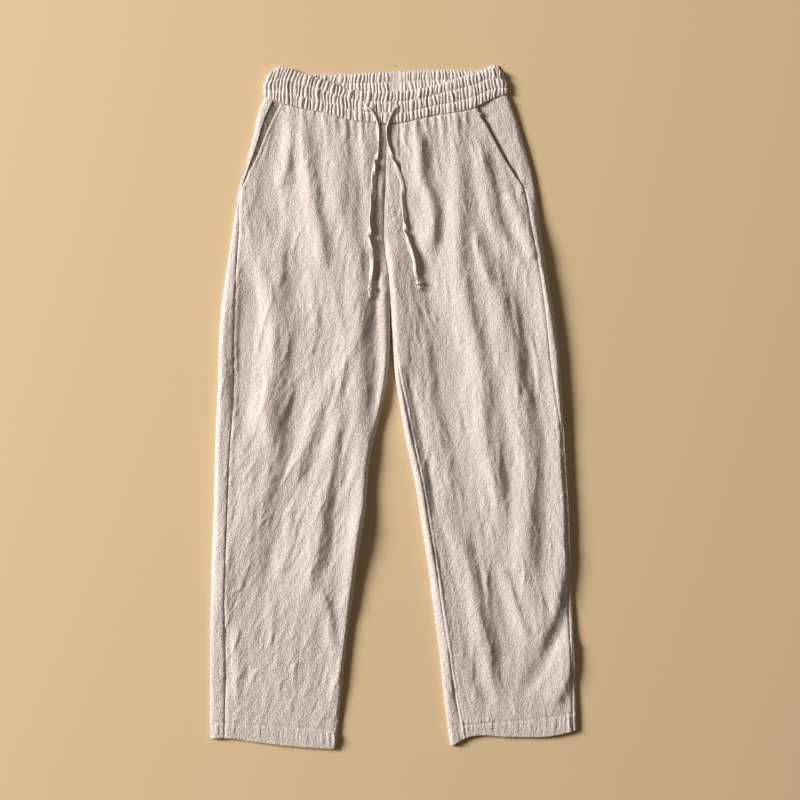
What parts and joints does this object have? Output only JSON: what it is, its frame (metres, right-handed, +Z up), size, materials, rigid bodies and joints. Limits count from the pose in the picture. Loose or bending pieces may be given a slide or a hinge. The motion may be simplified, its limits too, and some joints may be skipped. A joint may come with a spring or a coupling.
{
  "type": "summer trousers",
  "caption": "Straight-leg drawstring linen trousers laid flat, front up, with an elasticated shirred waistband, slanted hip pockets and turned hems.",
  "frame": {"origin": "middle of the garment's outline on the surface it lies on, drawstring ends left out", "axes": "+Z up from the surface, +Y along the legs towards the waist, +X towards the wearer's left leg, which is the viewer's right"},
  "size_m": [0.5496, 1.0214, 0.0167],
  "materials": {
    "linen_front": "washed plain-weave linen, matt, creased",
    "linen_back": "washed plain-weave linen, matt, creased",
    "linen_band": "the same linen, shirred over elastic",
    "linen_pocket": "the same linen, plain",
    "linen_tape": "self-fabric tape, twisted"
  },
  "bodies": {
    "root": {"waistband": "linen_band", "front_right": "linen_front", "front_left": "linen_front", "back_right": "linen_back", "back_left": "linen_back", "pocket_right": "linen_pocket", "pocket_left": "linen_pocket", "drawstring_right": "linen_tape", "drawstring_left": "linen_tape", "knot_right": "linen_tape", "knot_left": "linen_tape"}
  },
  "joints": []
}
